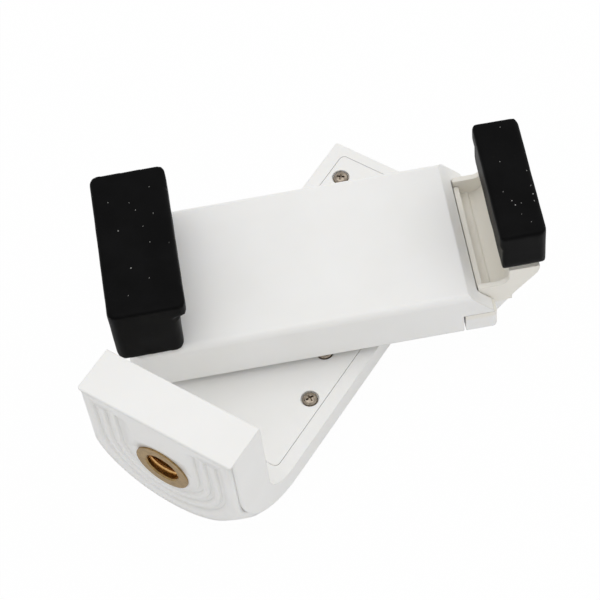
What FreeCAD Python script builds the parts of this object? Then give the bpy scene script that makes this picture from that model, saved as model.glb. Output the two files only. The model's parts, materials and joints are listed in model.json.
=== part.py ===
import FreeCAD, Part
import os
from math import sin, sqrt, tan

# Tripod phone mount adapter: a sprung phone clamp that swivels on an L-shaped bracket.
# The part lies on the bracket's back, as on a table. +X runs across the plate and +Y along it,
# from the foot to the far end. +Z points up, out of the plate's face.
# The origin is the middle of the brass thread's mouth. All lengths are in millimetres.

# Bracket: foot, plate and back
bracket_width = 31.0
plate_length = 79.6
foot_height = 24.2
foot_thickness = 8.9
inner_fillet = 6.4
side_depth = 4.4
corner_radius = 15.2
back_crown = 5.3
back_flat_depth = 0.55
far_back_radius = 6.0
far_corner_radius = 0.8
foot_corner_radius = 0.5
top_edge_radius = 0.3

# Bracket walls and the seam between frame and back shell
frame_wall = 1.8
shell_wall = 1.8
end_wall = 2.0
shell_edge = 1.0
hollow_edge_depth = 0.3
side_skin = 0.5
top_lip = 0.4
seam_gap = 0.06

# End face: nested U grooves round the thread insert
groove_radii = (7.9, 10.15, 12.4)
groove_width = 0.8
groove_depth = 0.5
groove_centre_height = 12.1
groove_top = 21.0

# Brass thread insert for a quarter-inch tripod screw
insert_height = 10.8
insert_flange_radius = 5.25
insert_flange_thickness = 0.9
insert_flange_proud = 0.3
insert_body_radius = 4.3
insert_length = 6.2
insert_mouth_radius = 3.45
thread_radius = 3.2
insert_boss_wall = 2.2
knurl_count = 12
knurl_depth = 0.3

# Inset cover on the plate's face
cover_thickness = 1.8
cover_rim = 2.5
cover_gap = 0.08
cover_setback = 5.2
cover_end_rim = 2.2
cover_ledge = 1.4
cover_corner_radius = 1.0
cover_hub_thickness = 3.1
cover_hub_radius = 10.0

# Cover screws
screw_head_radius = 1.45
screw_head_height = 0.9
screw_recess_radius = 1.65
screw_recess_depth = 0.6
screw_shank_radius = 0.8
screw_length = 4.6
screw_post_half = 2.0
screw_bore_gap = 0.05
outer_screw_offset = 10.5
near_screw_y = 28.8
far_screw_inset = 6.8
hub_screw_offset = 7.6
hub_screw_reach = 11.4

# Swivel
pivot_y = 49.8
rest_angle = 41.6
underside_gap = 1.5
stub_radius = 5.0
stub_clearance = 0.08
friction_radius = 9.6
friction_recess = 0.4
friction_gap = 0.12
spring_washer_radius = 8.2
spring_washer_thickness = 0.4
spring_washer_rise = 0.35
retaining_radius = 7.4
retaining_thickness = 1.0
retaining_gap = 0.1
pivot_shank_radius = 1.6
pivot_screw_length = 9.0
pivot_head_radius = 3.2
pivot_head_height = 1.7
hub_boss_radius = 5.2

# Clamp housing
clamp_width = 30.5
clamp_height = 10.2
housing_back = 36.4
housing_front = 24.7
housing_wall = 1.9
housing_roof = 1.8
housing_corner_radius = 3.0
housing_edge_radius = 1.3
visor_reach = 29.3
visor_cut = 26.5
visor_cut_radius = 0.5
cheek_height = 4.6
cheek_gap = 0.1
housing_side_end = 23.5
guide_rib_width = 1.2
guide_gap = 0.2

# Fixed jaw and its rubber sleeve
jaw_height = 25.4
pad_wall = 1.2
fixed_jaw_back = 36.9
fixed_jaw_front = 27.3
fixed_jaw_half = 14.1
fixed_pad_lift = 0.15
fixed_lip_reach = 1.6
fixed_lip_height = 3.6
fixed_lip_radius = 4.0
fixed_pad_radius = 1.6
fixed_jaw_root_radius = 1.0

# Clamp back cover
back_cover_thickness = 1.8
back_cover_gap = 0.1
snap_tab_length = 6.0
snap_tab_depth = 0.8
snap_tab_height = 0.8
case_screw_x = -31.0
case_screw_y = 4.0
case_screw_length = 6.0
case_post_radius = 2.1

# Moving jaw
jaw_travel = 28.0
slide_gap = 0.2
cheek_end = 29.6
cheek_parting = 0.3
rail_width = 2.2
rail_height = 2.8
rail_reach = 24.0
web_start = 8.8
web_thickness = 1.8
lip_gap = 0.25
lip_thickness = 1.0
lip_height = 8.6
lip_end_gap = 0.2
valley_height = 5.6
valley_radius = 3.2
neck_half = 12.4
neck_gap = 0.2
gusset_thickness = 1.0
gusset_height = 9.9
gusset_radius = 2.0
upright_front = 32.3
upright_thickness = 5.5
upright_half = 11.6
upright_radius = 0.6
moving_jaw_height = 24.65
moving_lip_reach = 0.4
moving_lip_height = 3.45
moving_pad_start = 14.0
moving_pad_inner_radius = 0.9
moving_pad_outer_radius = 1.5
moving_pad_foot_radius = 2.4
hook_length = 2.0
hook_width = 1.9
hook_height = 1.3
stop_gap = 0.4
stop_length = 1.6

# Return springs
spring_radius = 1.9
spring_wire = 0.5
spring_offset = 8.2
spring_height = 7.6
spring_fixed_x = -31.0
spring_moving_x = -5.0
spring_post_radius = 1.0
spring_post_rise = 1.0
spring_loop_radius = 1.7
spring_arm_half = 2.0
spring_arm_inner = 7.0

# Worked out from the sizes above
half_width = bracket_width / 2
shell_half = half_width - side_skin
seam_height = -(side_depth - shell_edge)
lens_middle = side_depth + back_crown
flat_height = -(lens_middle - back_flat_depth)
corner_height = corner_radius - side_depth
cover_half = half_width - cover_rim
cover_start = foot_thickness + cover_setback
cover_stop = plate_length - cover_end_rim
far_screw_y = plate_length - far_screw_inset
panel_top = foot_height - top_lip
frame_front = shell_edge + seam_gap
clamp_half = clamp_width / 2
clamp_bottom = underside_gap
clamp_top = clamp_bottom + clamp_height
cavity_half = clamp_half - housing_wall
roof_height = clamp_top - housing_roof
cover_top = clamp_bottom + back_cover_thickness
cheek_top = clamp_bottom + cheek_height
rail_bottom = cover_top + slide_gap
rail_top = min(rail_bottom + rail_height, cheek_top)
rail_outer = cavity_half - slide_gap
spring_arm_bottom = rail_bottom + hook_height + slide_gap
lip_start = visor_cut + lip_gap
visor_cut_half = neck_half + neck_gap
upright_back = upright_front + upright_thickness
fixed_top = jaw_height - pad_wall
jaw_top = moving_jaw_height - pad_wall
spring_post_top = spring_height + spring_post_rise
far_side = bracket_width * 2
above_all = foot_height + jaw_height


def vec(x, y, z):
    return FreeCAD.Vector(x, y, z)


def box(x0, x1, y0, y1, z0, z1):
    return Part.makeBox(x1 - x0, y1 - y0, z1 - z0, vec(x0, y0, z0))


def rod(radius, z0, z1, x=0, y=0):
    return Part.makeCylinder(radius, z1 - z0, vec(x, y, z0))


def ring(outer, inner, z0, z1, x=0, y=0):
    return rod(outer, z0, z1, x, y).cut(rod(inner, z0, z1, x, y))


def rounded_face(corners, place):
    # A polygon whose corners are (u, v, radius), drawn on the plane that place() sets it on.
    count = len(corners)
    starts = []
    ends = []
    middles = []
    for i in range(count):
        u, v, radius = corners[i]
        here = vec(u, v, 0)
        before = vec(corners[i - 1][0], corners[i - 1][1], 0) - here
        after = vec(corners[(i + 1) % count][0], corners[(i + 1) % count][1], 0) - here
        before.normalize()
        after.normalize()
        half_turn = before.getAngle(after) / 2
        back_off = radius / tan(half_turn)
        bisector = before + after
        if radius:
            bisector.normalize()
        starts.append(here + before * back_off)
        ends.append(here + after * back_off)
        middles.append(here + bisector * (radius / sin(half_turn) - radius))
    edges = []
    for i in range(count):
        if corners[i][2]:
            arc = Part.Arc(place(starts[i]), place(middles[i]), place(ends[i]))
            edges.append(arc.toShape())
        following = starts[(i + 1) % count]
        if (following - ends[i]).Length > 1e-6:
            edges.append(Part.makeLine(place(ends[i]), place(following)))
    return Part.Face(Part.Wire(edges))


def plan_prism(corners, z0, z1):
    # Corners are (x, y, radius).
    face = rounded_face(corners, lambda p: vec(p.x, p.y, z0))
    return face.extrude(vec(0, 0, z1 - z0))


def bracket_side_prism(corners, half):
    # Corners are (y, z, radius), and the prism runs across the bracket.
    face = rounded_face(corners, lambda p: vec(-half, p.x, p.y))
    return face.extrude(vec(2 * half, 0, 0))


def clamp_side_prism(corners, y0, y1):
    # Corners are (x, z, radius), and the prism runs across the clamp.
    face = rounded_face(corners, lambda p: vec(p.x, y0, p.y))
    return face.extrude(vec(0, y1 - y0, 0))


def clamp_end_prism(corners, x0, x1):
    # Corners are (y, z, radius), and the prism runs along the clamp.
    face = rounded_face(corners, lambda p: vec(x0, p.x, p.y))
    return face.extrude(vec(x1 - x0, 0, 0))


def rectangle(x0, x1, y0, y1, radius):
    return [(x0, y0, radius), (x1, y0, radius), (x1, y1, radius), (x0, y1, radius)]


def turned(points):
    # A closed outline of (radius, height) points, turned round the Z axis.
    face = Part.Face(Part.makePolygon([vec(r, 0, z) for r, z in points + points[:1]]))
    return face.revolve(vec(0, 0, 0), vec(0, 0, 1), 360)


def plain_screw(head_radius, head_height, shank_radius, length):
    # Head up, with the underside of the head at height 0.
    return rod(head_radius, 0, head_height).fuse(rod(shank_radius, -length, 0))


# The crowned section is a flat-sided strip with an arc on its outer side. It runs straight
# under the plate, turns round the outer corner and ends in the foot's end face.

def crowned_run(half, edge, middle):
    # middle is the strip's full depth at the centre line, edge its depth at the sides.
    def at(u, w):
        return vec(u, corner_radius, seam_height - w)

    section = Part.Face(Part.Wire([
        Part.makeLine(at(-half, 0), at(half, 0)),
        Part.makeLine(at(half, 0), at(half, edge)),
        Part.Arc(at(half, edge), at(0, middle), at(-half, edge)).toShape(),
        Part.makeLine(at(-half, edge), at(-half, 0)),
    ]))
    straight = section.extrude(vec(0, plate_length - corner_radius, 0))
    turn_axis = vec(0, corner_radius, corner_height)
    corner = section.revolve(turn_axis, vec(1, 0, 0), -90)
    return straight.fuse(corner)


def bracket_envelope(half):
    # What the bracket stays within at a given half width, seen from above and from the side.
    from_above = plan_prism([
        (-half, 0, foot_corner_radius),
        (half, 0, foot_corner_radius),
        (half, plate_length, far_corner_radius),
        (-half, plate_length, far_corner_radius),
    ], flat_height, foot_height)
    from_side = bracket_side_prism([
        (0, flat_height, 0),
        (plate_length, flat_height, far_back_radius),
        (plate_length, foot_height, 0),
        (0, foot_height, top_edge_radius),
    ], far_side)
    return from_above.common(from_side)


def cover_screw_places():
    places = []
    for side in (-1, 1):
        for y in (near_screw_y, far_screw_y):
            places.append((side * outer_screw_offset, y))
        for end in (-1, 1):
            places.append((side * hub_screw_offset, pivot_y + end * hub_screw_reach))
    return places


def screw_post(x, y, gap, bottom, top):
    reach = screw_post_half + gap
    return box(x - reach, x + reach, y - reach, y + reach, bottom, top)


def u_prism(radius, y0, y1):
    # A U outline of the end face at a given half width.
    middle = vec(0, y0, groove_centre_height)
    round_end = Part.makeCylinder(radius, y1 - y0, middle, vec(0, 1, 0))
    return round_end.fuse(box(-radius, radius, y0, y1, groove_centre_height, groove_top))


def u_groove(radius):
    outline = u_prism(radius + groove_width / 2, -1, groove_depth)
    groove = outline.cut(u_prism(radius - groove_width / 2, -1, groove_depth))
    for side in (-1, 1):
        groove = groove.fuse(Part.makeCylinder(groove_width / 2, groove_depth + 1,
                                               vec(side * radius, -1, groove_top), vec(0, 1, 0)))
    return groove


# The shell's hollow has flat sloping sides that follow the crown at the wall's thickness.

def hollow_floor():
    # Depth and half width of the flat floor.
    floor_depth = seam_height - flat_height - shell_wall
    floor_half = shell_half * sqrt(1 - (floor_depth + shell_wall - shell_edge) / back_crown)
    return floor_depth, floor_half


def hollow_depth(x):
    floor_depth, floor_half = hollow_floor()
    hollow_half = shell_half - shell_wall
    share = (hollow_half - abs(x)) / (hollow_half - floor_half)
    return hollow_edge_depth + (floor_depth - hollow_edge_depth) * min(share, 1)


def shell_hollow():
    hollow_half = shell_half - shell_wall
    floor_depth, floor_half = hollow_floor()
    section = Part.Face(Part.makePolygon([
        vec(u, corner_radius, seam_height - w) for u, w in (
            (-hollow_half, 0),
            (hollow_half, 0),
            (hollow_half, hollow_edge_depth),
            (floor_half, floor_depth),
            (-floor_half, floor_depth),
            (-hollow_half, hollow_edge_depth),
            (-hollow_half, 0),
        )
    ]))
    straight = section.extrude(vec(0, plate_length - corner_radius, 0))
    corner = section.revolve(vec(0, corner_radius, corner_height), vec(1, 0, 0), -90)
    return straight.fuse(corner).common(bracket_side_prism([
        (end_wall, flat_height + shell_wall, 0),
        (plate_length - shell_wall, flat_height + shell_wall, far_back_radius - shell_wall),
        (plate_length - shell_wall, corner_height, 0),
        (end_wall, corner_height, 0),
    ], far_side))


def bracket_back_shell():
    outer = crowned_run(shell_half, shell_edge, shell_edge + back_crown)
    panel = box(-shell_half, shell_half, 0, shell_edge, corner_height, panel_top - seam_gap)
    shell = outer.fuse(panel).common(bracket_envelope(shell_half)).cut(shell_hollow())

    liner_half = half_width - frame_wall - seam_gap
    liner = box(-liner_half, liner_half, shell_edge, end_wall,
                corner_height - shell_edge, foot_height - frame_wall - seam_gap)
    boss_depth = foot_thickness - frame_wall - seam_gap
    boss = Part.makeCylinder(insert_body_radius + insert_boss_wall, boss_depth - shell_edge,
                             vec(0, shell_edge, insert_height), vec(0, 1, 0))
    posts = []
    for x, y in cover_screw_places():
        depth = hollow_depth(abs(x) - screw_post_half)
        posts.append(screw_post(x, y, 0, seam_height - depth, -cover_thickness))
    shell = shell.fuse([liner, boss] + posts)

    for x, y in cover_screw_places():
        shell = shell.cut(rod(screw_shank_radius + screw_bore_gap,
                              -screw_recess_depth - screw_length - 0.3, 0, x, y))
    for radius in groove_radii:
        shell = shell.cut(u_groove(radius))
    flange_seat = insert_flange_thickness - insert_flange_proud
    for radius, y0, y1 in (
        (insert_flange_radius, -1, flange_seat),
        (insert_body_radius, 0, insert_length - insert_flange_proud),
    ):
        shell = shell.cut(Part.makeCylinder(radius, y1 - y0, vec(0, y0, insert_height),
                                            vec(0, 1, 0)))
    return shell.removeSplitter()


def frame_blank(bottom, radius):
    # The foot and plate in side view, down to a given height and round a given outer corner.
    return bracket_side_prism([
        (frame_front, foot_height, 0),
        (frame_front, bottom, radius),
        (plate_length, bottom, 0),
        (plate_length, 0, 0.5),
        (foot_thickness, 0, inner_fillet),
        (foot_thickness, foot_height, top_edge_radius),
    ], half_width)


def bracket_frame():
    # The sides hang down past the shell's edge as thin skins, and the top reaches over it.
    between = shell_half + seam_gap
    skins = frame_blank(-side_depth, corner_radius).cut(
        box(-between, between, -1, plate_length + 1, flat_height, above_all))
    body = frame_blank(seam_height + seam_gap, corner_radius - frame_front).fuse(skins)
    body = body.common(plan_prism([
        (-half_width, frame_front, foot_corner_radius),
        (half_width, frame_front, foot_corner_radius),
        (half_width, plate_length, far_corner_radius),
        (-half_width, plate_length, far_corner_radius),
    ], flat_height, foot_height))
    over_panel = box(-half_width, half_width, 0, foot_thickness / 2, panel_top, foot_height)
    frame = body.fuse(over_panel).common(bracket_envelope(half_width))

    foot_hollow = bracket_side_prism([
        (-1, foot_height - frame_wall, 0),
        (-1, flat_height, 0),
        (cover_start + cover_ledge, flat_height, 0),
        (cover_start + cover_ledge, -cover_thickness - cover_ledge, 0),
        (foot_thickness - frame_wall, -frame_wall, inner_fillet - 0.2),
        (foot_thickness - frame_wall, foot_height - frame_wall, 0),
    ], half_width - frame_wall)
    recess = plan_prism(rectangle(-cover_half, cover_half, cover_start, cover_stop,
                                  cover_corner_radius), -cover_thickness, 1)
    opening = plan_prism(rectangle(-cover_half + cover_ledge, cover_half - cover_ledge,
                                   cover_start + cover_ledge, cover_stop - cover_ledge,
                                   cover_corner_radius), flat_height, 1)
    frame = frame.cut([foot_hollow, recess, opening])
    for x, y in cover_screw_places():
        frame = frame.cut(screw_post(x, y, seam_gap, flat_height, 0))
    return frame.removeSplitter()


def bracket_cover():
    half = cover_half - cover_gap
    start = cover_start + cover_gap
    stop = cover_stop - cover_gap
    cover = plan_prism(rectangle(-half, half, start, stop, cover_corner_radius),
                       -cover_thickness, 0)
    cover = cover.fuse(rod(cover_hub_radius, -cover_hub_thickness, -cover_thickness, 0, pivot_y))
    cover = cover.cut(rod(stub_radius + stub_clearance, -10, 1, 0, pivot_y))
    cover = cover.cut(rod(friction_radius + cover_gap, -friction_recess, 1, 0, pivot_y))
    for x, y in cover_screw_places():
        cover = cover.cut(rod(screw_recess_radius, -screw_recess_depth, 1, x, y))
        cover = cover.cut(rod(screw_shank_radius + screw_bore_gap, -10, 1, x, y))
    return cover.removeSplitter()


def cover_screws():
    screws = []
    for x, y in cover_screw_places():
        screw = plain_screw(screw_head_radius, screw_head_height, screw_shank_radius, screw_length)
        screw.translate(vec(x, y, -screw_recess_depth))
        screws.append(screw)
    return Part.makeCompound(screws)


def thread_insert():
    # Built upright with its mouth at height 0, then laid along +Y.
    chamfer = insert_mouth_radius - thread_radius
    body = turned([
        (thread_radius, -insert_length),
        (insert_body_radius, -insert_length),
        (insert_body_radius, -insert_flange_thickness),
        (insert_flange_radius, -insert_flange_thickness),
        (insert_flange_radius, 0),
        (insert_mouth_radius, 0),
        (thread_radius, -chamfer),
    ])
    for i in range(knurl_count):
        notch = box(insert_body_radius - knurl_depth, insert_body_radius + 1,
                    -knurl_depth, knurl_depth, -insert_length, -insert_flange_thickness)
        notch.rotate(vec(0, 0, 0), vec(0, 0, 1), 360 * i / knurl_count)
        body = body.cut(notch)
    body.rotate(vec(0, 0, 0), vec(1, 0, 0), 90)
    body.translate(vec(0, -insert_flange_proud, insert_height))
    return body


# The swivel: washers and screw on the pivot, then the clamp. The clamp is drawn with its
# pivot at x = 0, y = 0 and its moving jaw towards +X, and is turned to its rest angle at the end.

def friction_washer():
    top = clamp_bottom - friction_gap
    return ring(friction_radius, stub_radius + stub_clearance, -friction_recess, top, 0, pivot_y)


def spring_washer():
    inner = stub_radius + stub_clearance
    top = -cover_hub_thickness
    low = top - spring_washer_rise
    disc = turned([
        (inner, low),
        (spring_washer_radius, top),
        (spring_washer_radius, top - spring_washer_thickness),
        (inner, low - spring_washer_thickness),
    ])
    disc.translate(vec(0, pivot_y, 0))
    return disc


def stub_end_height():
    return -(cover_hub_thickness + spring_washer_rise + spring_washer_thickness + retaining_gap)


def retaining_washer():
    top = stub_end_height()
    return ring(retaining_radius, pivot_shank_radius + screw_bore_gap,
                top - retaining_thickness, top)


def pivot_screw():
    screw = plain_screw(pivot_head_radius, pivot_head_height, pivot_shank_radius,
                      pivot_screw_length)
    screw.rotate(vec(0, 0, 0), vec(1, 0, 0), 180)
    screw.translate(vec(0, 0, stub_end_height() - retaining_thickness))
    return screw


def visor_slope():
    return (clamp_top - cheek_top) / (visor_reach - housing_front)


def clamp_housing():
    wall_bottom = cheek_top + cheek_gap
    body = clamp_side_prism([
        (-housing_back, clamp_bottom, 0.4),
        (housing_side_end, clamp_bottom, 0.3),
        (housing_side_end, wall_bottom, 0.3),
        (visor_reach, wall_bottom, 0.3),
        (housing_front, clamp_top, 0.5),
        (-housing_back, clamp_top, 0),
    ], -clamp_half, clamp_half)
    body = body.common(plan_prism([
        (-housing_back, -clamp_half, housing_corner_radius),
        (visor_reach + 5, -clamp_half, 0),
        (visor_reach + 5, clamp_half, 0),
        (-housing_back, clamp_half, housing_corner_radius),
    ], 0, clamp_top))
    body = body.common(clamp_end_prism([
        (-clamp_half, 0, 0),
        (clamp_half, 0, 0),
        (clamp_half, clamp_top, housing_edge_radius),
        (-clamp_half, clamp_top, housing_edge_radius),
    ], -housing_back, visor_reach))

    slope = visor_slope()
    drop = housing_roof * sqrt(1 + slope ** 2)
    inner_end = housing_front + (clamp_top - drop - wall_bottom) / slope
    inner_bend = housing_front + (clamp_top - drop - roof_height) / slope
    hollow = clamp_side_prism([
        (-housing_back + housing_wall, 0, 0),
        (visor_reach + 5, 0, 0),
        (visor_reach + 5, wall_bottom, 0),
        (inner_end, wall_bottom, 0),
        (inner_bend, roof_height, 0.5),
        (-housing_back + housing_wall, roof_height, 0.5),
    ], -cavity_half, cavity_half)
    body = body.cut(hollow)
    notch = plan_prism([
        (visor_cut, -visor_cut_half, visor_cut_radius),
        (visor_reach + 5, -visor_cut_half, 0),
        (visor_reach + 5, visor_cut_half, 0),
        (visor_cut, visor_cut_half, visor_cut_radius),
    ], 0, clamp_top + 1)
    body = body.cut(notch)

    jaw = plan_prism(rectangle(-fixed_jaw_back, -fixed_jaw_front, -fixed_jaw_half,
                               fixed_jaw_half, fixed_jaw_root_radius), clamp_top, fixed_top)
    body = body.fuse(jaw.common(clamp_side_prism([
        (-fixed_jaw_back, 0, 0),
        (-fixed_jaw_front, 0, 0),
        (-fixed_jaw_front, fixed_top, 0.8),
        (-fixed_jaw_back, fixed_top, 0.8),
    ], -fixed_jaw_half, fixed_jaw_half)))

    rib_outer = rail_outer
    for side in (-1, 1):
        y0, y1 = sorted((side * rib_outer, side * (rib_outer - guide_rib_width)))
        body = body.fuse(box(-housing_back + housing_wall, housing_side_end - 2, y0, y1,
                             rail_top + guide_gap, roof_height))
    for side in (-1, 1):
        post = rod(case_post_radius, cover_top, roof_height, case_screw_x, side * case_screw_y)
        body = body.fuse(post)
        body = body.cut(rod(screw_shank_radius + screw_bore_gap, 0,
                            clamp_bottom + screw_recess_depth + case_screw_length,
                            case_screw_x, side * case_screw_y))
    for side in (-1, 1):
        y0, y1 = sorted((side * cavity_half, side * (cavity_half + snap_tab_depth)))
        slot = box(-back_cover_gap, snap_tab_length + back_cover_gap, y0, y1,
                   cover_top - snap_tab_height - back_cover_gap, cover_top + back_cover_gap)
        slot.translate(vec(housing_side_end - 3 * snap_tab_length / 2, 0, 0))
        body = body.cut(slot)
    return body.removeSplitter()


def clamp_back_cover():
    half = cavity_half - back_cover_gap
    back = -housing_back + housing_wall + back_cover_gap
    cover = box(back, housing_side_end, -half, half, clamp_bottom, cover_top)
    stub = rod(stub_radius, stub_end_height(), clamp_bottom)
    hub_top = roof_height - 1.0
    cover = cover.fuse([stub, rod(hub_boss_radius, cover_top, hub_top)])
    bore_top = stub_end_height() - retaining_thickness + pivot_screw_length + 0.3
    cover = cover.cut(rod(pivot_shank_radius + screw_bore_gap, stub_end_height(), bore_top))
    for side in (-1, 1):
        y = side * spring_offset
        cover = cover.fuse(rod(spring_post_radius, cover_top, spring_post_top,
                               spring_fixed_x, y))
        y0, y1 = sorted((side * (rail_outer - rail_width - slide_gap),
                         side * (rail_outer - rail_width - hook_width + slide_gap)))
        stop_x = -rail_reach + hook_length + jaw_travel + stop_gap
        cover = cover.fuse(box(stop_x, stop_x + stop_length, y0, y1,
                               cover_top, rail_bottom + hook_height))
        y0, y1 = sorted((side * half, side * (cavity_half + snap_tab_depth - back_cover_gap)))
        tab = box(0, snap_tab_length, y0, y1, cover_top - snap_tab_height, cover_top)
        tab.translate(vec(housing_side_end - 3 * snap_tab_length / 2, 0, 0))
        cover = cover.fuse(tab)
        y = side * case_screw_y
        cover = cover.cut(rod(screw_recess_radius, 0, clamp_bottom + screw_head_height,
                              case_screw_x, y))
        cover = cover.cut(rod(screw_shank_radius + screw_bore_gap, 0, 10, case_screw_x, y))
    return cover.removeSplitter()


def case_screws():
    screws = []
    for side in (-1, 1):
        screw = plain_screw(screw_head_radius, screw_head_height, screw_shank_radius,
                          case_screw_length - screw_head_height)
        screw.rotate(vec(0, 0, 0), vec(1, 0, 0), 180)
        screw.translate(vec(case_screw_x, side * case_screw_y,
                            clamp_bottom + screw_head_height))
        screws.append(screw)
    return Part.makeCompound(screws)


def fixed_jaw_pad():
    # A sleeve over the jaw, with a lip along its inner top edge that fades out at the ends.
    back = -(fixed_jaw_back + pad_wall)
    front = -(fixed_jaw_front - pad_wall)
    lip_edge = front + fixed_lip_reach
    half = fixed_jaw_half + pad_wall
    bottom = clamp_top + fixed_pad_lift
    body = plan_prism(rectangle(back, front, -half, half, fixed_pad_radius), bottom, jaw_height)
    body = body.common(clamp_side_prism([
        (back, bottom, 0.8),
        (front, bottom, 1.0),
        (front, jaw_height, 0),
        (back, jaw_height, 0.8),
    ], -half, half))
    lip_root = lip_edge - fixed_lip_radius - fixed_pad_radius
    lip = plan_prism([
        (lip_root, -half, fixed_pad_radius),
        (lip_edge, -half, fixed_lip_radius),
        (lip_edge, half, fixed_lip_radius),
        (lip_root, half, fixed_pad_radius),
    ], bottom, jaw_height)
    lip = lip.common(clamp_side_prism([
        (lip_root, jaw_height - fixed_lip_height, 0),
        (front, jaw_height - fixed_lip_height - fixed_lip_reach, 0),
        (lip_edge, jaw_height - fixed_lip_height, 0.6),
        (lip_edge, jaw_height, 0.8),
        (lip_root, jaw_height, 0),
    ], -half, half))
    core = plan_prism(rectangle(-fixed_jaw_back, -fixed_jaw_front, -fixed_jaw_half,
                                fixed_jaw_half, fixed_jaw_root_radius), 0, fixed_top)
    return body.fuse(lip).cut(core).removeSplitter()


def upright_core(bottom):
    return plan_prism(rectangle(upright_front, upright_back, -upright_half, upright_half,
                                upright_radius), bottom, jaw_top)


def side_span(side, inner, outer):
    # Lower and higher Y of a feature on one side of the clamp's middle.
    return sorted((side * inner, side * outer))


def jaw_slider():
    block_start = housing_side_end + cheek_parting
    block = clamp_side_prism([
        (block_start, clamp_bottom, 0.3),
        (cheek_end, clamp_bottom, 0.8),
        (cheek_end, cheek_top, 0.5),
        (block_start, cheek_top, 0.3),
    ], -clamp_half, clamp_half)
    block = block.common(plan_prism([
        (0, -clamp_half, 0),
        (cheek_end, -clamp_half, 0.8),
        (cheek_end, clamp_half, 0.8),
        (0, clamp_half, 0),
    ], 0, clamp_top))
    rail_inner = rail_outer - rail_width
    block = block.cut(box(0, lip_start, -rail_inner, rail_inner,
                          rail_bottom + web_thickness, clamp_top))

    neck = clamp_side_prism([
        (lip_start, clamp_bottom, 0),
        (cheek_end, clamp_bottom, 1.2),
        (cheek_end + 3.9, valley_height + 1.6, 5.0),
        (upright_back, clamp_top + 0.8, 3.5),
        (upright_back, moving_pad_start, 0),
        (upright_front, moving_pad_start, 0),
        (upright_front, valley_height, valley_radius),
        (lip_start, valley_height, 0),
    ], -neck_half, neck_half)
    lip_half = neck_half - gusset_thickness - lip_end_gap
    lip = plan_prism(rectangle(lip_start, lip_start + lip_thickness, -lip_half, lip_half,
                               lip_thickness * 0.4), valley_height - 0.5, lip_height)
    upright = upright_core(moving_pad_start - 0.5)
    web = box(web_start, lip_start, -rail_outer + 0.5, rail_outer - 0.5,
              rail_bottom, rail_bottom + web_thickness)
    slider = block.fuse([neck, lip, upright, web])

    for side in (-1, 1):
        y0, y1 = side_span(side, neck_half - gusset_thickness, neck_half)
        gusset = clamp_side_prism([
            (lip_start, valley_height - 0.5, 0),
            (upright_front + 0.5, valley_height - 0.5, 0),
            (upright_front + 0.5, moving_pad_start, 0),
            (upright_front, moving_pad_start, 0),
            (upright_front, gusset_height, gusset_radius),
            (lip_start, gusset_height, 0.4),
        ], y0, y1)
        y0, y1 = side_span(side, rail_inner, rail_outer)
        rail = box(-rail_reach, housing_side_end + 2, y0, y1, rail_bottom, rail_top)
        y0, y1 = side_span(side, rail_inner - hook_width, rail_outer)
        hook = box(-rail_reach, -rail_reach + hook_length, y0, y1,
                   rail_bottom, rail_bottom + hook_height)
        y0, y1 = side_span(side, spring_arm_inner, rail_outer)
        arm = box(spring_moving_x - spring_arm_half, spring_moving_x + spring_arm_half, y0, y1,
                  spring_arm_bottom, rail_top)
        post = rod(spring_post_radius, spring_arm_bottom, spring_post_top,
                   spring_moving_x, side * spring_offset)
        slider = slider.fuse([gusset, rail, hook, arm, post])
    pocket_half = clamp_half - housing_wall
    pocket = box(block_start + housing_wall, cheek_end - housing_wall, -pocket_half,
                 pocket_half, 0, rail_bottom)
    return slider.cut(pocket).removeSplitter()


def moving_jaw_pad():
    # A sleeve over the upright that stands on the neck, with a shallow lip at its inner top.
    x0 = upright_front - pad_wall
    x1 = upright_back + pad_wall
    lip_edge = x0 - moving_lip_reach
    half = upright_half + pad_wall
    sleeve = plan_prism([
        (lip_edge, -half, moving_pad_inner_radius),
        (x1, -half, moving_pad_outer_radius),
        (x1, half, moving_pad_outer_radius),
        (lip_edge, half, moving_pad_inner_radius),
    ], moving_pad_start, moving_jaw_height)
    lip_bottom = moving_jaw_height - moving_lip_height
    sleeve = sleeve.common(clamp_side_prism([
        (x0, moving_pad_start, 0.7),
        (x1, moving_pad_start, 0.7),
        (x1, moving_jaw_height, 0.7),
        (lip_edge, moving_jaw_height, 0.5),
        (lip_edge, lip_bottom, 0),
        (x0, lip_bottom - moving_lip_reach, 0),
    ], -half, half))
    sleeve = sleeve.common(clamp_end_prism([
        (-half, moving_pad_start, moving_pad_foot_radius),
        (half, moving_pad_start, moving_pad_foot_radius),
        (half, moving_jaw_height, 0.5),
        (-half, moving_jaw_height, 0.5),
    ], lip_edge, x1))
    return sleeve.cut(upright_core(0)).removeSplitter()


def return_spring(side):
    # Close-wound coil with a loop at each end, hooked over the two posts.
    y = side * spring_offset
    loop_reach = spring_loop_radius + spring_wire
    x0 = spring_fixed_x + loop_reach
    x1 = spring_moving_x - loop_reach

    def along(radius, start, stop):
        return Part.makeCylinder(radius, stop - start, vec(start, y, spring_height), vec(1, 0, 0))

    coil = along(spring_radius, x0, x1).cut(
        along(spring_radius - spring_wire, x0 + spring_wire, x1 - spring_wire))
    half_wire = spring_wire / 2
    for x, inner, towards in ((spring_fixed_x, x0, 1), (spring_moving_x, x1, -1)):
        loop = ring(spring_loop_radius + half_wire, spring_loop_radius - half_wire,
                    spring_height - half_wire, spring_height + half_wire, x, y)
        start, stop = sorted((inner, x + towards * spring_loop_radius))
        tail = box(start, stop, y - half_wire, y + half_wire,
                   spring_height - half_wire, spring_height + half_wire)
        coil = coil.fuse([loop, tail])
    return coil


def on_clamp(shape):
    shape.rotate(vec(0, 0, 0), vec(0, 0, 1), rest_angle)
    shape.translate(vec(0, pivot_y, 0))
    return shape


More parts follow.
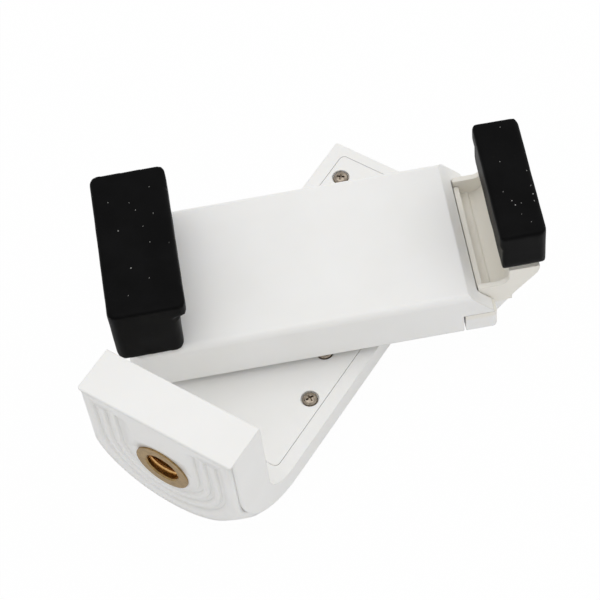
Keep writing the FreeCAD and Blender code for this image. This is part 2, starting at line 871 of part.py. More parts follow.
nodes = {
    "bracket_frame": bracket_frame(),
    "bracket_back_shell": bracket_back_shell(),
    "bracket_cover": bracket_cover(),
    "cover_screws": cover_screws(),
    "thread_insert": thread_insert(),
    "friction_washer": friction_washer(),
    "spring_washer": spring_washer(),
    "retaining_washer": on_clamp(retaining_washer()),
    "pivot_screw": on_clamp(pivot_screw()),
    "clamp_housing": on_clamp(clamp_housing()),
    "clamp_back_cover": on_clamp(clamp_back_cover()),
    "case_screws": on_clamp(case_screws()),
    "fixed_jaw_pad": on_clamp(fixed_jaw_pad()),
    "jaw_slider": on_clamp(jaw_slider()),
    "moving_jaw_pad": on_clamp(moving_jaw_pad()),
    "return_spring_near": on_clamp(return_spring(-1)),
    "return_spring_far": on_clamp(return_spring(1)),
}

os.makedirs("parts", exist_ok=True)
for name, shape in nodes.items():
    shape.translate(vec(0, 0, -insert_height))
    shape.exportStep(f"parts/{name}.step")
    print(name, len(shape.Solids), shape.isValid(), round(shape.Volume, 1))
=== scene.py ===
import json
from math import cos, pi, radians, sin

import bmesh
import bpy
from mathutils import Matrix, Vector, noise


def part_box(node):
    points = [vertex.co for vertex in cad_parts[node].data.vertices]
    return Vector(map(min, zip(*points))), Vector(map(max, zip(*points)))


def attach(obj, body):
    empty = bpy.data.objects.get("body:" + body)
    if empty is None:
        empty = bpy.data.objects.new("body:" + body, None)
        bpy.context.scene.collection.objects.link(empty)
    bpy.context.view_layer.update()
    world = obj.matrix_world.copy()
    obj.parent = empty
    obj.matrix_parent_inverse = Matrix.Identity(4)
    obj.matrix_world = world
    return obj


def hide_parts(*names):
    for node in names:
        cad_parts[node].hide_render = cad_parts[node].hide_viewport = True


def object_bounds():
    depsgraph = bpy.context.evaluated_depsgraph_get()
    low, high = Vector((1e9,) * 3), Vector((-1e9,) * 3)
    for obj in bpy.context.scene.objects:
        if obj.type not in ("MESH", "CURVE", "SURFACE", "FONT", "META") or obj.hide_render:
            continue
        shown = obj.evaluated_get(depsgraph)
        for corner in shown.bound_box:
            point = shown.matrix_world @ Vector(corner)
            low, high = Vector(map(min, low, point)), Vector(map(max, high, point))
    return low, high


# Sizes are in metres, and mm turns millimetres into them. Places come from the frame.
mm = 0.001
weld = 0.001 * mm
edgeSamples = 6
black = (0, 0, 0)
white = (1, 1, 1)
seeds = {"turn": 3, "size": 8}

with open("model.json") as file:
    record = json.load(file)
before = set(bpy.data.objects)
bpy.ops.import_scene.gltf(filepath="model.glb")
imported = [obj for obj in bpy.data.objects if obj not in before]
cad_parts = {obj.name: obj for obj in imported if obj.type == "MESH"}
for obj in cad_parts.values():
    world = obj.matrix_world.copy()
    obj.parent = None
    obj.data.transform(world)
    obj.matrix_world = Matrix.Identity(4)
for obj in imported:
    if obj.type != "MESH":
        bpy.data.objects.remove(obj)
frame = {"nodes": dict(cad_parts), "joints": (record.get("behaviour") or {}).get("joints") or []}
nodes = frame["nodes"]
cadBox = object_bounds()
joints = {joint["name"]: joint for joint in frame["joints"]}
pivot = Vector(joints["swivel"]["pos_m"])
along = Vector(joints["jaw_slide"]["axis"])
across = Vector((-along.y, along.x, 0))
print("frame loaded,", len(nodes), "nodes")


# Helpers for node trees

def newMaterial(name, base, roughness, metallic=0.0, specular=0.5):
    material = bpy.data.materials.new(name)
    material.use_nodes = True
    tree = material.node_tree
    shader = tree.nodes["Principled BSDF"]
    shader.inputs["Base Color"].default_value = (*base, 1)
    shader.inputs["Roughness"].default_value = roughness
    shader.inputs["Metallic"].default_value = metallic
    shader.inputs["Specular IOR Level"].default_value = specular
    return material, tree, shader


def objectNoise(tree, scale, detail, roughness=0.5):
    place = tree.nodes.new("ShaderNodeTexCoord")
    cloud = tree.nodes.new("ShaderNodeTexNoise")
    cloud.inputs["Scale"].default_value = scale
    cloud.inputs["Detail"].default_value = detail
    cloud.inputs["Roughness"].default_value = roughness
    tree.links.new(place.outputs["Object"], cloud.inputs["Vector"])
    return cloud.outputs["Fac"]


def ramp(tree, source, ends, first, second):
    # The first colour turns into the second between two values of the source.
    node = tree.nodes.new("ShaderNodeValToRGB")
    for point, position, colour in zip(node.color_ramp.elements, ends, (first, second)):
        point.position = position
        point.color = (*colour, 1)
    tree.links.new(source, node.inputs["Fac"])
    return node.outputs["Color"]


def mixColours(tree, share, first, second):
    mix = tree.nodes.new("ShaderNodeMix")
    mix.data_type = "RGBA"
    tree.links.new(share, mix.inputs["Factor"])
    tree.links.new(first, mix.inputs["A"])
    mix.inputs["B"].default_value = (*second, 1)
    return mix.outputs["Result"]


def grainBump(tree, shader, height, strength, distance):
    bump = tree.nodes.new("ShaderNodeBump")
    bump.inputs["Strength"].default_value = strength
    bump.inputs["Distance"].default_value = distance
    tree.links.new(height, bump.inputs["Height"])
    tree.links.new(bump.outputs["Normal"], shader.inputs["Normal"])
    return bump


def roundEdges(tree, shader, radius, height, strength, distance):
    # Edges catch the light as if they had a small radius, and a fine grain lies over them.
    edge = tree.nodes.new("ShaderNodeBevel")
    edge.samples = edgeSamples
    edge.inputs["Radius"].default_value = radius
    bump = grainBump(tree, shader, height, strength, distance)
    tree.links.new(edge.outputs["Normal"], bump.inputs["Normal"])


def setMaterial(mesh, material):
    mesh.materials.clear()
    mesh.materials.append(material)


def dress(names, material):
    for name in names:
        setMaterial(nodes[name].data, material)


# Helpers for meshes

def newPiece(name, mesh):
    piece = bpy.data.objects.new(name, mesh)
    bpy.context.scene.collection.objects.link(piece)
    return piece


def bake(piece):
    # The modifiers' result becomes the piece's own mesh.
    bpy.context.view_layer.update()
    graph = bpy.context.evaluated_depsgraph_get()
    mesh = bpy.data.meshes.new_from_object(piece.evaluated_get(graph))
    piece.modifiers.clear()
    piece.data = mesh
    return mesh


def meshFromPoints(name, points):
    mesh = bpy.data.meshes.new(name)
    mesh.from_pydata(points, [], [])
    return mesh


def meshFromBuild(name, build):
    mesh = bpy.data.meshes.new(name)
    build.to_mesh(mesh)
    build.free()
    return mesh


def buildFromNode(node):
    # A node's mesh, with the vertices that lie together joined.
    build = bmesh.new()
    build.from_mesh(nodes[node].data)
    bmesh.ops.remove_doubles(build, verts=build.verts, dist=weld)
    return build


def addBlock(build, middle, turn, size):
    place = Matrix.Translation(middle) @ turn @ Matrix.Diagonal((*size, 1))
    bmesh.ops.create_cube(build, size=1.0, matrix=place)


def combine(piece, tool, operation):
    step = piece.modifiers.new(tool.name, "BOOLEAN")
    step.operation = operation
    step.solver = "EXACT"
    step.object = tool


def smoothShade(mesh):
    mesh.polygons.foreach_set("use_smooth", [True] * len(mesh.polygons))


def turnedMesh(name, profile, steps):
    # A profile of (radius, height) points, turned round the Z axis.
    build = bmesh.new()
    line = [build.verts.new((r, 0, z)) for r, z in profile]
    edges = [build.edges.new(pair) for pair in zip(line, line[1:])]
    bmesh.ops.spin(build, geom=line + edges, cent=(0, 0, 0), axis=(0, 0, 1), angle=2 * pi,
                   steps=steps)
    bmesh.ops.remove_doubles(build, verts=build.verts, dist=10 * weld)
    bmesh.ops.recalc_face_normals(build, faces=build.faces)
    return meshFromBuild(name, build)


def islandBoxes(name):
    # The lowest and highest corners of each separate solid in a node.
    build = buildFromNode(name)
    left = set(build.verts)
    boxes = []
    while left:
        group = [left.pop()]
        for vertex in group:
            for edge in vertex.link_edges:
                other = edge.other_vert(vertex)
                if other in left:
                    left.remove(other)
                    group.append(other)
        low = Vector([min(v.co[i] for v in group) for i in range(3)])
        high = Vector([max(v.co[i] for v in group) for i in range(3)])
        boxes.append((low, high))
    build.free()
    return sorted(boxes, key=lambda box: (round(box[0].y, 5), box[0].x))


# Helpers for Geometry Nodes

def newTree(name, inputs):
    tree = bpy.data.node_groups.new(name, "GeometryNodeTree")
    tree.is_modifier = True
    tree.interface.new_socket(name="Geometry", in_out="INPUT", socket_type="NodeSocketGeometry")
    for label, kind in inputs:
        tree.interface.new_socket(name=label, in_out="INPUT", socket_type=kind)
    tree.interface.new_socket(name="Geometry", in_out="OUTPUT", socket_type="NodeSocketGeometry")
    start = tree.nodes.new("NodeGroupInput")
    end = tree.nodes.new("NodeGroupOutput")
    return tree, start, end


def finishTree(tree, start, end, geometry):
    realize = tree.nodes.new("GeometryNodeRealizeInstances")
    paint = tree.nodes.new("GeometryNodeSetMaterial")
    tree.links.new(geometry, realize.inputs["Geometry"])
    tree.links.new(realize.outputs["Geometry"], paint.inputs["Geometry"])
    tree.links.new(start.outputs["Finish"], paint.inputs["Material"])
    tree.links.new(paint.outputs["Geometry"], end.inputs["Geometry"])


def applyTree(piece, tree, values):
    modifier = piece.modifiers.new(tree.name, "NODES")
    modifier.node_group = tree
    for item in tree.interface.items_tree:
        if item.in_out == "INPUT" and item.name in values:
            modifier[item.identifier] = values[item.name]
    return bake(piece)


def scatterTree(name, lowTurn, highTurn, lowScale, highScale):
    # One object set on every point, each copy with its own turn and size.
    tree, start, end = newTree(name, [("Copy", "NodeSocketObject"), ("Flip", "NodeSocketFloat"),
                                      ("Finish", "NodeSocketMaterial")])
    copy = tree.nodes.new("GeometryNodeObjectInfo")
    copy.inputs["As Instance"].default_value = True
    tree.links.new(start.outputs["Copy"], copy.inputs["Object"])
    turn = tree.nodes.new("FunctionNodeRandomValue")
    turn.data_type = "FLOAT"
    turn.inputs["Min"].default_value = lowTurn
    turn.inputs["Max"].default_value = highTurn
    turn.inputs["Seed"].default_value = seeds["turn"]
    euler = tree.nodes.new("ShaderNodeCombineXYZ")
    tree.links.new(start.outputs["Flip"], euler.inputs["X"])
    tree.links.new(turn.outputs["Value"], euler.inputs["Z"])
    size = tree.nodes.new("FunctionNodeRandomValue")
    size.data_type = "FLOAT_VECTOR"
    size.inputs["Min"].default_value = lowScale
    size.inputs["Max"].default_value = highScale
    size.inputs["Seed"].default_value = seeds["size"]
    place = tree.nodes.new("GeometryNodeInstanceOnPoints")
    tree.links.new(start.outputs["Geometry"], place.inputs["Points"])
    tree.links.new(copy.outputs["Geometry"], place.inputs["Instance"])
    tree.links.new(euler.outputs["Vector"], place.inputs["Rotation"])
    tree.links.new(size.outputs["Value"], place.inputs["Scale"])
    finishTree(tree, start, end, place.outputs["Instances"])
    return tree


# Finishes. Each noise is (scale, detail, roughness), and each range has the two values of
# its noise between which one colour or roughness turns into the other.

# White moulded plastic

whitePlastic = {
    "base": (0.93, 0.925, 0.91),
    "dull": (0.905, 0.90, 0.88),
    "cloud": (60, 3),
    "cloudRange": (0.35, 0.62),
    "roughness": 0.36,
    "smoothest": 0.30,
    "roughest": 0.44,
    "handled": (300, 5, 0.6),
    "handledRange": (0.3, 0.7),
    "grain": (2600, 2),
    "grainStrength": 0.06,
    "grainHeight": 0.05 * mm,
    "edge": 0.22 * mm,
    "glow": 0.25,
    "glowReach": (2.2 * mm, 2.0 * mm, 1.7 * mm),
}

# The moving jaw has painted shade in its valley: its colour turns into a darker, warmer white
# between these two heights.
sliderPlastic = dict(whitePlastic, valleyShade=(0.90, 0.872, 0.805), valleyShadeHeights=(-6.4 * mm, -5.6 * mm))


# Painted shade: above the given heights the colour is mixed towards the valley's darker, warmer
# white.
def valleyShadeAbove(tree, colour, look):
    place = tree.nodes.new("ShaderNodeTexCoord")
    parts = tree.nodes.new("ShaderNodeSeparateXYZ")
    tree.links.new(place.outputs["Object"], parts.inputs["Vector"])
    height = tree.nodes.new("ShaderNodeMapRange")
    height.inputs["From Min"].default_value = look["valleyShadeHeights"][0]
    height.inputs["From Max"].default_value = look["valleyShadeHeights"][1]
    tree.links.new(parts.outputs["Z"], height.inputs["Value"])
    return mixColours(tree, height.outputs["Result"], colour, look["valleyShade"])


def makeWhitePlastic(name, look):
    material, tree, shader = newMaterial(name, look["base"], look["roughness"])
    cloud = objectNoise(tree, *look["cloud"])
    colour = ramp(tree, cloud, look["cloudRange"], look["dull"], look["base"])
    # Only the moving jaw's plastic gets the painted valley shade.
    if "valleyShade" in look:
        colour = valleyShadeAbove(tree, colour, look)
    tree.links.new(colour, shader.inputs["Base Color"])
    handled = objectNoise(tree, *look["handled"])
    sheen = ramp(tree, handled, look["handledRange"], (look["smoothest"],) * 3,
                 (look["roughest"],) * 3)
    tree.links.new(sheen, shader.inputs["Roughness"])
    grain = objectNoise(tree, *look["grain"])
    roundEdges(tree, shader, look["edge"], grain, look["grainStrength"], look["grainHeight"])
    shader.inputs["Subsurface Weight"].default_value = look["glow"]
    shader.inputs["Subsurface Radius"].default_value = look["glowReach"]
    return material


# Black rubber of the jaw pads

blackRubber = {
    "base": (0.0018, 0.0018, 0.0019),
    "worn": (0.0034, 0.0034, 0.0036),
    "film": (0.035, 0.034, 0.032),
    "roughness": 0.42,
    "specular": 0.05,
    "cloud": (140, 5, 0.6),
    "cloudRange": (0.4, 0.65),
    "powder": (4200, 2, 0.8),
    "powderRange": (0.69, 0.75),
    "patches": (210, 3),
    "patchRange": (0.52, 0.68),
    "grain": (1800, 6, 0.7),
    "grainStrength": 0.16,
    "grainHeight": 0.1 * mm,
}


def makeBlackRubber(look):
    # A fine pale powder lies in patches over the rubber.
    material, tree, shader = newMaterial("blackRubber", look["base"], look["roughness"],
                                         specular=look["specular"])
    cloud = objectNoise(tree, *look["cloud"])
    tint = ramp(tree, cloud, look["cloudRange"], look["base"], look["worn"])
    powder = objectNoise(tree, *look["powder"])
    film = ramp(tree, powder, look["powderRange"], black, white)
    patches = objectNoise(tree, *look["patches"])
    where = ramp(tree, patches, look["patchRange"], black, white)
    share = tree.nodes.new("ShaderNodeMath")
    share.operation = "MULTIPLY"
    tree.links.new(film, share.inputs[0])
    tree.links.new(where, share.inputs[1])
    dusty = mixColours(tree, share.outputs[0], tint, look["film"])
    tree.links.new(dusty, shader.inputs["Base Color"])
    grain = objectNoise(tree, *look["grain"])
    grainBump(tree, shader, grain, look["grainStrength"], look["grainHeight"])
    return material


# Metals: base colour, roughness and the noise of the tarnish

metals = {
    "nickelScrew": ((0.40, 0.34, 0.275), 0.24, (1500, 4)),
    "springSteel": ((0.50, 0.51, 0.53), 0.30, (1200, 4)),
    "insertBrass": ((0.42, 0.28, 0.12), 0.27, (1500, 4)),
    # The thread's brass is a brighter copy of the insert's brass: painted light inside the bore.
    "threadBrassPaintedLight": ((0.86, 0.52, 0.21), 0.2, (1500, 4)),
}

metalSkin = {
    "tarnish": 0.75,
    "tarnishRange": (0.35, 0.6),
    "grainStrength": 0.08,
    "grainHeight": 0.03 * mm,
    "edge": 0.08 * mm,
}


def makeMetal(name, skin):
    base, roughness, cloudNoise = metals[name]
    material, tree, shader = newMaterial(name, base, roughness, metallic=1.0)
    cloud = objectNoise(tree, *cloudNoise)
    darker = tuple(c * skin["tarnish"] for c in base)
    tint = ramp(tree, cloud, skin["tarnishRange"], darker, base)
    tree.links.new(tint, shader.inputs["Base Color"])
    roundEdges(tree, shader, skin["edge"], cloud, skin["grainStrength"], skin["grainHeight"])
    return material


# Dust specks, and the flat black colour of the friction washer

paleDust = {
    "base": (0.45, 0.44, 0.42),
    "dark": (0.2, 0.2, 0.19),
    "light": (0.5, 0.49, 0.47),
    "cloud": (5000, 2),
    "cloudRange": (0.35, 0.65),
    "roughness": 0.9,
    "specular": 0.1,
}

washerBlack = {"base": (0.02, 0.02, 0.02), "roughness": 0.5}


def makeDust(look):
    material, tree, shader = newMaterial("dust", look["base"], look["roughness"],
                                         specular=look["specular"])
    cloud = objectNoise(tree, *look["cloud"])
    tint = ramp(tree, cloud, look["cloudRange"], look["dark"], look["light"])
    tree.links.new(tint, shader.inputs["Base Color"])
    return material


whiteFinish = makeWhitePlastic("whitePlastic", whitePlastic)
sliderFinish = makeWhitePlastic("sliderPlastic", sliderPlastic)
rubberFinish = makeBlackRubber(blackRubber)
nickelFinish = makeMetal("nickelScrew", metalSkin)
springFinish = makeMetal("springSteel", metalSkin)
brassFinish = makeMetal("insertBrass", metalSkin)
# Painted light: the thread gets the brighter copy of the brass.
threadPaintedLightFinish = makeMetal("threadBrassPaintedLight", metalSkin)
washerBlackFinish = newMaterial("washerBlack", washerBlack["base"], washerBlack["roughness"])[0]
dustFinish = makeDust(paleDust)

dress(["bracket_frame", "bracket_back_shell", "bracket_cover", "clamp_housing",
       "clamp_back_cover"], whiteFinish)
dress(["jaw_slider"], sliderFinish)
dress(["fixed_jaw_pad", "moving_jaw_pad"], rubberFinish)
dress(["cover_screws", "case_screws", "pivot_screw", "retaining_washer"], nickelFinish)
dress(["spring_washer", "return_spring_near", "return_spring_far"], springFinish)
dress(["thread_insert"], brassFinish)
dress(["friction_washer"], washerBlackFinish)
print("finishes on")


# End face of the foot: soft nested U grooves round the thread insert.
# Heights are from the insert's centre. The section is (side, depth) in millimetres.

endGrooves = {
    "radii": (7.9 * mm, 10.15 * mm, 12.4 * mm),
    "bend": 1.3 * mm,
    "top": 10.0 * mm,
    "tip": 10.6 * mm,
    "tipShare": 0.3,
    "section": ((-0.72, -0.1), (-0.53, 0.14), (-0.405, 0.503), (0.405, 0.503), (0.53, 0.14),
                (0.72, -0.1)),
    "steps": 48,
    "sharpAngle": radians(33),
    "blankHalf": 13.3 * mm,
    "blankDepth": 0.62 * mm,
    "blankFoot": 5.6 * mm,
}


def groovePath(radius, look):
    # Place, outward direction and share of the full section at each step along one U.
    path = [((-radius, look["tip"]), (-1, 0), look["tipShare"]),
            ((-radius, look["top"]), (-1, 0), 1.0)]
    for i in range(look["steps"] + 1):
        angle = pi + pi * i / look["steps"]
        out = (cos(angle), sin(angle))
        path.append(((radius * out[0], look["bend"] + radius * out[1]), out, 1.0))
    path += [((radius, look["top"]), (1, 0), 1.0),
             ((radius, look["tip"]), (1, 0), look["tipShare"])]
    return path


def grooveRing(build, middle, step, section):
    (x, z), (outX, outZ), share = step
    ring = []
    for side, depth in section:
        place = Vector((x + outX * side * mm * share, depth * mm, z + outZ * side * mm * share))
        ring.append(build.verts.new(middle + place))
    return ring


def bridgeRings(build, one, two):
    for i in range(len(one)):
        j = (i + 1) % len(one)
        build.faces.new((one[i], one[j], two[j], two[i]))


def grooveCutter(middle, look):
    build = bmesh.new()
    for radius in look["radii"]:
        rings = [grooveRing(build, middle, step, look["section"])
                 for step in groovePath(radius, look)]
        for one, two in zip(rings, rings[1:]):
            bridgeRings(build, one, two)
        build.faces.new(rings[0])
        build.faces.new(rings[-1])
    bmesh.ops.recalc_face_normals(build, faces=build.faces)
    return newPiece("grooveCutter", meshFromBuild("grooveCutter", build))


def grooveBlank(middle, top, look):
    # A thin block that closes the face above the insert before the grooves are cut.
    low = middle + Vector((-look["blankHalf"], 0, look["blankFoot"]))
    high = Vector((middle.x + look["blankHalf"], middle.y + look["blankDepth"], top))
    build = bmesh.new()
    addBlock(build, (low + high) / 2, Matrix.Identity(4), high - low)
    return newPiece("grooveBlank", meshFromBuild("grooveBlank", build))


def carveEndFace(look):
    mesh = meshFromBuild("bracket_back_shell_carved", buildFromNode("bracket_back_shell"))
    shell = newPiece("bracket_back_shell_carved", mesh)
    low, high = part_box("thread_insert")
    shellLow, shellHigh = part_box("bracket_back_shell")
    middle = Vector(((low[0] + high[0]) / 2, shellLow[1], (low[2] + high[2]) / 2))
    tools = [grooveBlank(middle, shellHigh[2], look), grooveCutter(middle, look)]
    for tool, operation in zip(tools, ("UNION", "DIFFERENCE")):
        combine(shell, tool, operation)
    mesh = bake(shell)
    for tool in tools:
        bpy.data.objects.remove(tool)
    smoothShade(mesh)
    mesh.set_sharp_from_angle(angle=look["sharpAngle"])
    setMaterial(mesh, whiteFinish)
    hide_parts("bracket_back_shell")
    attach(shell, "bracket")


carveEndFace(endGrooves)
print("end face carved")


# Rubber sleeves of the two jaws, with soft edges and faces that are not quite flat

padSkin = {
    "voxel": 0.3 * mm,
    "softness": 0.5,
    "rounds": 7,
    "waver": 0.05 * mm,
    "waverScale": 230,
}

# The lip's corners, filled out to a smaller radius than the solid's
lipCorners = {"size": 4.6 * mm, "radius": 1.3 * mm, "height": 3.2 * mm, "sides": 32}


def clampPlace(x, y, z):
    # A place along and across the clamp from its pivot, at a height of its own.
    place = pivot + along * x + across * y
    place.z = z
    return place


def fillCorners(build, look):
    # Two blocks and a post fill each corner.
    front = max((v.co - pivot).dot(along) for v in build.verts)
    sides = [(v.co - pivot).dot(across) for v in build.verts]
    middle = max(v.co.z for v in build.verts) - look["height"] / 2
    turn = Matrix((along, across, (0, 0, 1))).transposed().to_4x4()
    size = look["size"]
    radius = look["radius"]
    short = size - radius
    for side, inward in ((min(sides), 1), (max(sides), -1)):
        for depth, width, back, aside in ((size, short, 0, radius), (short, size, radius, 0)):
            place = clampPlace(front - back - depth / 2, side + inward * (aside + width / 2),
                               middle)
            addBlock(build, place, turn, (depth, width, look["height"]))
        place = clampPlace(front - radius, side + inward * radius, middle)
        bmesh.ops.create_cone(build, cap_ends=True, segments=look["sides"], radius1=radius,
                              radius2=radius, depth=look["height"],
                              matrix=Matrix.Translation(place))


def softPad(node, body, look, corners=None):
    build = buildFromNode(node)
    if corners:
        fillCorners(build, corners)
    pad = newPiece(node + "_rubber", meshFromBuild(node + "_rubber", build))
    skin = pad.modifiers.new("skin", "REMESH")
    skin.mode = "VOXEL"
    skin.voxel_size = look["voxel"]
    soften = pad.modifiers.new("soften", "SMOOTH")
    soften.factor = look["softness"]
    soften.iterations = look["rounds"]
    mesh = bake(pad)
    normals = [vertex.normal.copy() for vertex in mesh.vertices]
    for vertex, normal in zip(mesh.vertices, normals):
        waver = noise.noise(vertex.co * look["waverScale"]) * look["waver"]
        vertex.co += normal * waver
    smoothShade(mesh)
    setMaterial(mesh, rubberFinish)
    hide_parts(node)
    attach(pad, body)


softPad("fixed_jaw_pad", "clamp", padSkin, lipCorners)
softPad("moving_jaw_pad", "jaw", padSkin)
print("pads softened")


# Dust on the pads' tops: places in millimetres along and across the clamp from its pivot

padDust = {
    "fixed_jaw_pad": {
        "body": "clamp",
        "specks": [(-27.6, 10.9), (-29.7, 2.7), (-28.9, -0.9), (-34.1, 2.6), (-27.6, 5.1),
                   (-25.6, -1.7), (-31.5, 8.2), (-30.6, 6.4), (-35.2, 9.0), (-32.8, -5.6),
                   (-29.9, -8.3), (-33.9, -11.2)],
    },
    "moving_jaw_pad": {
        "body": "jaw",
        "specks": [(35.6, 11.0), (33.2, -2.9), (34.3, -5.1), (34.7, -6.1), (35.8, -5.9),
                   (35.4, -8.2), (38.2, 0.7), (38.2, -2.6), (38.1, -5.9), (38.2, -4.4),
                   (34.0, 3.6), (36.7, -10.1)],
    },
}

fleckShape = {
    "radius": 0.14 * mm,
    "dents": 0.4,
    "dentScale": 9000,
    "flatness": 0.35,
    "smallest": (0.35, 0.3, 0.5),
    "largest": (1.5, 1.1, 1.2),
}


def makeFleck(look):
    build = bmesh.new()
    bmesh.ops.create_icosphere(build, subdivisions=1, radius=look["radius"])
    for vertex in build.verts:
        vertex.co *= 1 + look["dents"] * noise.noise(vertex.co * look["dentScale"])
        vertex.co.z *= look["flatness"]
    return newPiece("fleck", meshFromBuild("fleck", build))


def dustPad(node, look, tree, fleck):
    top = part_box(node)[1][2]
    points = [clampPlace(x * mm, y * mm, top) for x, y in look["specks"]]
    dust = newPiece(node + "_dust", meshFromPoints(node + "_dust", points))
    applyTree(dust, tree, {"Copy": fleck, "Flip": 0.0, "Finish": dustFinish})
    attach(dust, look["body"])


fleck = makeFleck(fleckShape)
dustTree = scatterTree("dustSpecks", 0, 2 * pi, fleckShape["smallest"], fleckShape["largest"])
for node, look in padDust.items():
    dustPad(node, look, dustTree, fleck)
bpy.data.objects.remove(fleck)
print("dust laid")


# Screws with pan heads and cross recesses, one on each solid of the CAD's screw nodes

screwShape = {
    "headRadius": 1.45 * mm,
    "headHeight": 0.9 * mm,
    "shankRadius": 0.78 * mm,
    "shankLength": 4.4 * mm,
    "sides": 40,
    "crossReach": 0.92 * mm,
    "crossWidth": 0.4 * mm,
    "crossTop": 1.08 * mm,
    "crossDepth": 0.62 * mm,
    "footReach": 0.322 * mm,
    "footWidth": 0.24 * mm,
    "sharpAngle": radians(35),
}

# The head's outline, in shares of its radius and height
headCurve = ((0, 1.0), (0.4, 0.985), (0.66, 0.92), (0.86, 0.74), (0.97, 0.46), (1.0, 0.2),
             (0.985, 0.04), (0.94, 0))


def crossBlade(look, angle):
    # One arm of the recess, narrower at its foot.
    foot = look["headHeight"] - look["crossDepth"]
    build = bmesh.new()
    rings = []
    for reach, width, z in ((look["crossReach"], look["crossWidth"], look["crossTop"]),
                            (look["footReach"], look["footWidth"], foot)):
        rings.append([build.verts.new((sx * reach, sy * width / 2, z))
                      for sx, sy in ((-1, -1), (1, -1), (1, 1), (-1, 1))])
        build.faces.new(rings[-1])
    bridgeRings(build, *rings)
    bmesh.ops.recalc_face_normals(build, faces=build.faces)
    bmesh.ops.rotate(build, verts=build.verts, cent=(0, 0, 0),
                     matrix=Matrix.Rotation(angle, 3, "Z"))
    return newPiece("crossBlade", meshFromBuild("crossBlade", build))


def makeScrew(look):
    profile = [(r * look["headRadius"], z * look["headHeight"]) for r, z in headCurve]
    profile += [(look["shankRadius"], 0), (look["shankRadius"], -look["shankLength"]),
                (0, -look["shankLength"])]
    screw = newPiece("panScrew", turnedMesh("panScrew", profile, look["sides"]))
    blades = [crossBlade(look, 0), crossBlade(look, pi / 2)]
    for blade in blades:
        combine(screw, blade, "DIFFERENCE")
    mesh = bake(screw)
    for blade in blades:
        bpy.data.objects.remove(blade)
    smoothShade(mesh)
    mesh.set_sharp_from_angle(angle=look["sharpAngle"])
    return screw


def setScrews(node, body, headsUp, tree, screw):
    height = screwShape["headHeight"]
    points = []
    for low, high in islandBoxes(node):
        middle = (low + high) / 2
        points.append((middle.x, middle.y, high.z - height if headsUp else low.z + height))
    screws = newPiece(node + "_cross", meshFromPoints(node + "_cross", points))
    applyTree(screws, tree, {"Copy": screw, "Flip": 0.0 if headsUp else pi,
                             "Finish": nickelFinish})
    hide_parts(node)
    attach(screws, body)


screw = makeScrew(screwShape)
screwTree = scatterTree("screwSet", 0, pi / 2, (1, 1, 1), (1, 1, 1))
setScrews("cover_screws", "bracket", True, screwTree, screw)
setScrews("case_screws", "clamp", False, screwTree, screw)
bpy.data.objects.remove(screw)
print("screws set")


# Turns of the quarter-inch thread inside the brass insert, twenty to the inch

threadShape = {
    "pitch": 1.27 * mm,
    "wallRadius": 3.2 * mm,
    "ridge": 0.52 * mm,
    "ridgeSides": 4,
    "sides": 48,
    "margin": 0.6 * mm,
}


def threadTree(look, length):
    tree, start, end = newTree("threadTurns", [("Finish", "NodeSocketMaterial")])
    turns = length / look["pitch"]
    spiral = tree.nodes.new("GeometryNodeCurveSpiral")
    spiral.inputs["Resolution"].default_value = look["sides"]
    spiral.inputs["Rotations"].default_value = turns
    spiral.inputs["Start Radius"].default_value = look["wallRadius"]
    spiral.inputs["End Radius"].default_value = look["wallRadius"]
    spiral.inputs["Height"].default_value = length
    upright = tree.nodes.new("GeometryNodeSetCurveNormal")
    upright.mode = "Z_UP"
    tree.links.new(spiral.outputs["Curve"], upright.inputs["Curve"])
    section = tree.nodes.new("GeometryNodeCurvePrimitiveCircle")
    section.inputs["Resolution"].default_value = look["ridgeSides"]
    section.inputs["Radius"].default_value = look["ridge"]
    sweep = tree.nodes.new("GeometryNodeCurveToMesh")
    sweep.inputs["Fill Caps"].default_value = True
    tree.links.new(upright.outputs["Curve"], sweep.inputs["Curve"])
    tree.links.new(section.outputs["Curve"], sweep.inputs["Profile Curve"])
    lay = tree.nodes.new("GeometryNodeTransform")
    lay.inputs["Rotation"].default_value = (-pi / 2, 0, 0)
    tree.links.new(sweep.outputs["Mesh"], lay.inputs["Geometry"])
    finishTree(tree, start, end, lay.outputs["Geometry"])
    return tree


def cutThread(look):
    low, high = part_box("thread_insert")
    middle = (Vector(low) + Vector(high)) / 2
    length = high[1] - low[1] - 2 * look["margin"]
    thread = newPiece("insertThread", meshFromPoints("insertThread", [(0, 0, 0)]))
    mesh = applyTree(thread, threadTree(look, length), {"Finish": threadPaintedLightFinish})
    mesh.transform(Matrix.Translation((middle.x, low[1] + look["margin"], middle.z)))
    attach(thread, "bracket")


cutThread(threadShape)
print("thread cut")


# Studio: a white floor under an even white sky and three lamps.
# Each lamp has its place, its size and its power.

studio = {
    "floorSize": 3.0,
    "floorGap": 0.02 * mm,
    "floorColour": (0.88, 0.88, 0.88),
    "floorRoughness": 0.6,
    "floorSpecular": 0.2,
    "whiteShare": 0.98,
    "worldLevel": 0.72,
    "lamps": {
        "topLamp": ((-0.10, 0.10, 0.85), 0.7, 1.45),
        "backLamp": ((0.1, 0.8, 0.5), 0.6, 0.9),
        "sideLamp": ((0.75, 0.15, 0.35), 0.5, 0.15),
    },
    "target": (0, 0.04, 0),
}


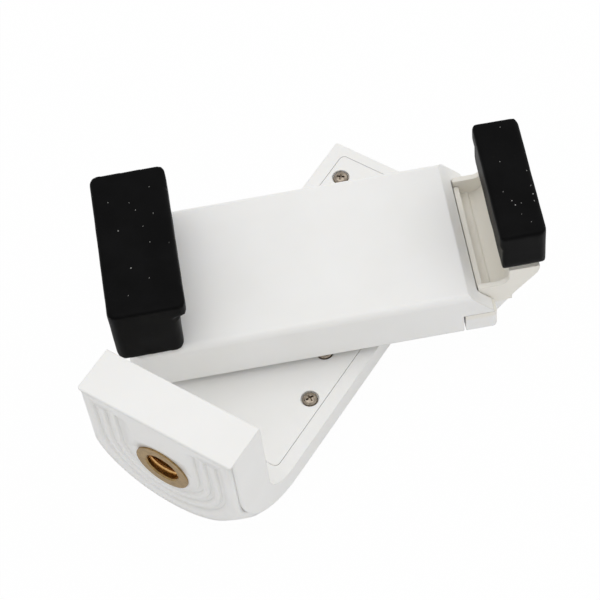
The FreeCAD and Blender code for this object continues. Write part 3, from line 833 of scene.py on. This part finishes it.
def buildFloor(look):
    height = cadBox[0][2] - look["floorGap"]
    bpy.ops.mesh.primitive_plane_add(size=look["floorSize"], location=(0, 0, height))
    floor = bpy.context.object
    floor.name = "studioFloor"
    material, tree, shader = newMaterial("paleFloor", look["floorColour"],
                                         look["floorRoughness"],
                                         specular=look["floorSpecular"])
    output = tree.nodes["Material Output"]
    path = tree.nodes.new("ShaderNodeLightPath")
    share = tree.nodes.new("ShaderNodeMath")
    share.operation = "MULTIPLY"
    share.inputs[1].default_value = look["whiteShare"]
    tree.links.new(path.outputs["Is Camera Ray"], share.inputs[0])
    paper = tree.nodes.new("ShaderNodeEmission")
    mix = tree.nodes.new("ShaderNodeMixShader")
    tree.links.new(share.outputs[0], mix.inputs["Fac"])
    tree.links.new(shader.outputs[0], mix.inputs[1])
    tree.links.new(paper.outputs[0], mix.inputs[2])
    tree.links.new(mix.outputs[0], output.inputs["Surface"])
    floor.data.materials.append(material)


def buildSky(look):
    world = bpy.data.worlds.new("softStudio")
    bpy.context.scene.world = world
    world.use_nodes = True
    tree = world.node_tree
    path = tree.nodes.new("ShaderNodeLightPath")
    level = tree.nodes.new("ShaderNodeMix")
    level.data_type = "FLOAT"
    level.inputs["A"].default_value = look["worldLevel"]
    level.inputs["B"].default_value = 1.0
    tree.links.new(path.outputs["Is Camera Ray"], level.inputs["Factor"])
    tree.links.new(level.outputs[0], tree.nodes["Background"].inputs["Strength"])
    tree.nodes["Background"].inputs["Color"].default_value = (*white, 1)


def hangLamps(look):
    target = Vector(look["target"])
    for name, (place, size, power) in look["lamps"].items():
        data = bpy.data.lights.new(name, "AREA")
        data.size = size
        data.energy = power
        lamp = bpy.data.objects.new(name, data)
        lamp.location = place
        lamp.rotation_euler = (target - Vector(place)).to_track_quat("-Z", "Y").to_euler()
        bpy.context.scene.collection.objects.link(lamp)


# The camera, fitted to the photo through points on the foot, the plate and both jaws

photoView = {
    "place": (0.138874, -0.124956, 0.329247),
    "turn": (32.783, 4.5626, 32.5807),
    "lens": 132.57,
    "sensor": 36,
    "nearest": 0.01,
}


def placeCamera(look):
    data = bpy.data.cameras.new("photoCamera")
    data.lens = look["lens"]
    data.sensor_width = look["sensor"]
    data.clip_start = look["nearest"]
    camera = bpy.data.objects.new("photoCamera", data)
    camera.location = look["place"]
    camera.rotation_euler = [radians(angle) for angle in look["turn"]]
    bpy.context.scene.collection.objects.link(camera)
    bpy.context.scene.camera = camera


buildFloor(studio)
buildSky(studio)
hangLamps(studio)
placeCamera(photoView)
bpy.context.scene.view_settings.view_transform = "Standard"
print("studio and camera set")
